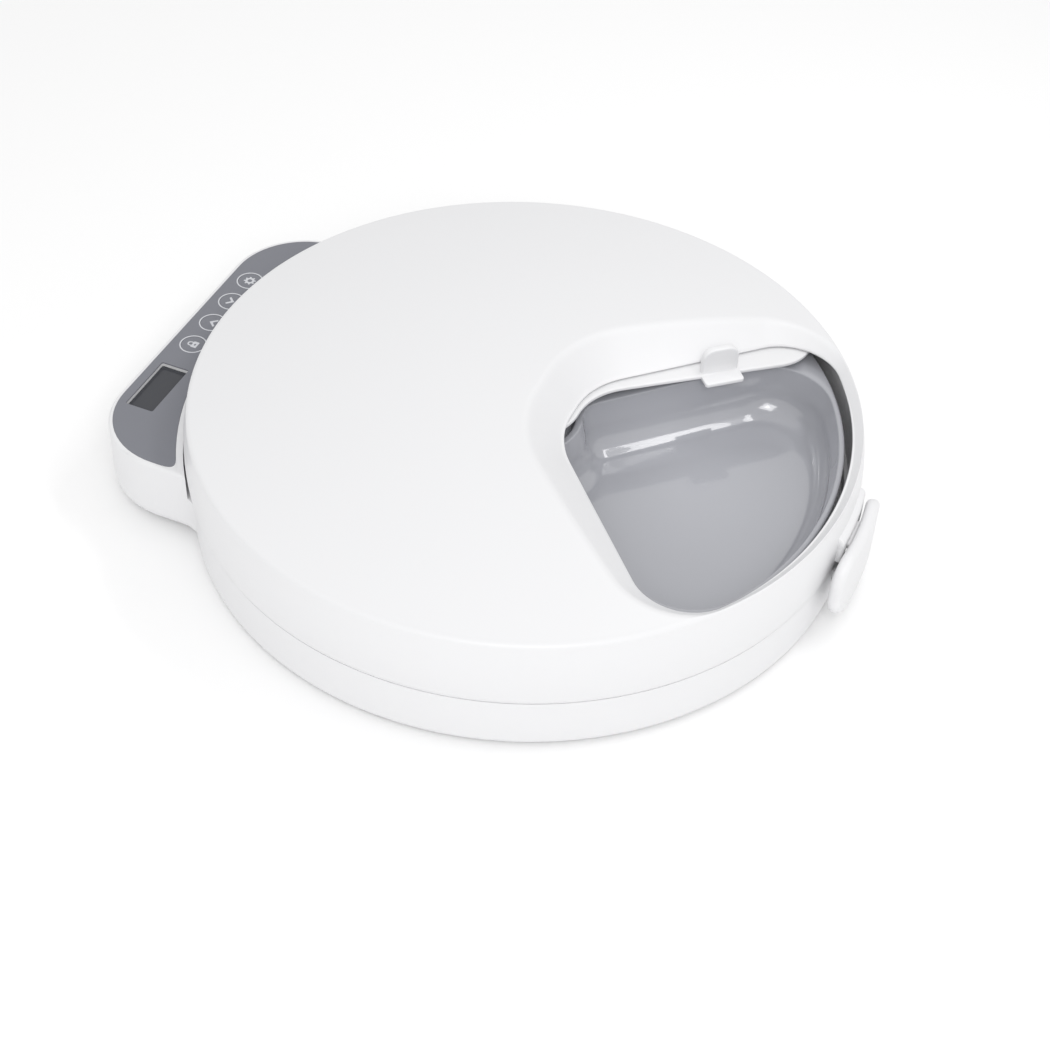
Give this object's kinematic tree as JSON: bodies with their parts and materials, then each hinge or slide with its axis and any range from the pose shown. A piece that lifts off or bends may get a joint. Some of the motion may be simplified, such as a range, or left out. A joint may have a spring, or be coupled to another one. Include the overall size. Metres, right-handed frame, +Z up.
{
  "type": "automatic pet feeder",
  "caption": "Round timed pet feeder: turning bowl tray under a domed lid with a food opening, swinging shutter, front latch and rear control panel.",
  "frame": {"origin": "on the tray's turning axis, at the surface the feet stand on", "axes": "+Z up, +Y towards the control panel at the rear, the food opening and the latch face -Y"},
  "size_m": [0.2682, 0.3, 0.067],
  "materials": {
    "casing_white": "satin moulded white",
    "tray_grey": "polished moulded light grey",
    "overlay_grey": "fine matt film",
    "lens_dark": "smoked clear window",
    "display_dark": "polished display glass",
    "board_green": "solder-masked board",
    "part_black": "matt black",
    "gear_nylon": "natural nylon",
    "steel": "plain plated steel",
    "gearbox_brass": "plain",
    "contact_nickel": "nickel plate",
    "inner_plastic": "as moulded",
    "ribbon_grey": "flat ribbon",
    "foot_rubber": "matt",
    "cell_sleeve": "printed sleeve, plain"
  },
  "bodies": {
    "base": {"base_shell": "casing_white", "battery_1": "cell_sleeve", "battery_2": "cell_sleeve", "battery_3": "cell_sleeve", "battery_4": "cell_sleeve", "battery_box": "inner_plastic", "battery_contacts": "contact_nickel", "battery_door": "casing_white", "board_screws": "steel", "bottom_cover": "casing_white", "buzzer": "part_black", "clamp_screws": "steel", "control_board": "board_green", "cover_screws": "steel", "display_lens": "lens_dark", "display_module": "display_dark", "door_screw": "steel", "foot_1": "foot_rubber", "foot_2": "foot_rubber", "foot_3": "foot_rubber", "foot_4": "foot_rubber", "foot_5": "foot_rubber", "magnet_sensor": "part_black", "main_board": "board_green", "motor_can": "steel", "motor_clamp": "steel", "motor_gearbox": "gearbox_brass", "panel_overlay": "overlay_grey", "panel_screws": "steel", "ribbon_cable": "ribbon_grey", "spindle": "steel", "spindle_clip": "steel", "switch_down": "part_black", "switch_lock": "part_black", "switch_settings": "part_black", "switch_up": "part_black"},
    "tray": {"feed_tray": "tray_grey", "tray_driver": "gear_nylon", "driver_magnet": "steel"},
    "pinion": {"motor_pinion": "gear_nylon", "motor_shaft": "steel"},
    "lid": {"lid_shell": "casing_white", "shutter_washer": "gear_nylon", "washer_screw": "steel", "latch_pin": "steel"},
    "shutter": {"shutter": "casing_white"},
    "latch": {"latch_lever": "casing_white"},
    "lock_key": {"key_lock": "overlay_grey"},
    "up_key": {"key_up": "overlay_grey"},
    "down_key": {"key_down": "overlay_grey"},
    "settings_key": {"key_settings": "overlay_grey"}
  },
  "joints": [
    {"name": "tray_turn", "type": "hinge", "parent": "base", "child": "tray", "pos_m": [0, 0, 0.033], "axis": [0, 0, 1], "continuous": true},
    {"name": "pinion_turn", "type": "hinge", "parent": "base", "child": "pinion", "pos_m": [0, 0.012, 0.03], "axis": [0, 0, 1], "continuous": true},
    {"name": "lid_lift", "type": "slide", "parent": "base", "child": "lid", "axis": [0, 0, 1], "range_m": [0, 0.085]},
    {"name": "shutter_swing", "type": "hinge", "parent": "lid", "child": "shutter", "pos_m": [0, 0, 0.052], "axis": [0, 0, -1], "range_deg": [0, 82.5]},
    {"name": "latch_pull", "type": "hinge", "parent": "lid", "child": "latch", "pos_m": [0, -0.1342, 0.0365], "axis": [-1, 0, 0], "range_deg": [0, 12]},
    {"name": "lock_press", "type": "slide", "parent": "base", "child": "lock_key", "axis": [0, 0, -1], "range_m": [0, 0.0005], "stiffness_N_per_m": 600},
    {"name": "up_press", "type": "slide", "parent": "base", "child": "up_key", "axis": [0, 0, -1], "range_m": [0, 0.0005], "stiffness_N_per_m": 600},
    {"name": "down_press", "type": "slide", "parent": "base", "child": "down_key", "axis": [0, 0, -1], "range_m": [0, 0.0005], "stiffness_N_per_m": 600},
    {"name": "settings_press", "type": "slide", "parent": "base", "child": "settings_key", "axis": [0, 0, -1], "range_m": [0, 0.0005], "stiffness_N_per_m": 600}
  ],
  "couplings": [
    {"joint": "pinion_turn", "follows": "tray_turn", "ratio": 4}
  ]
}
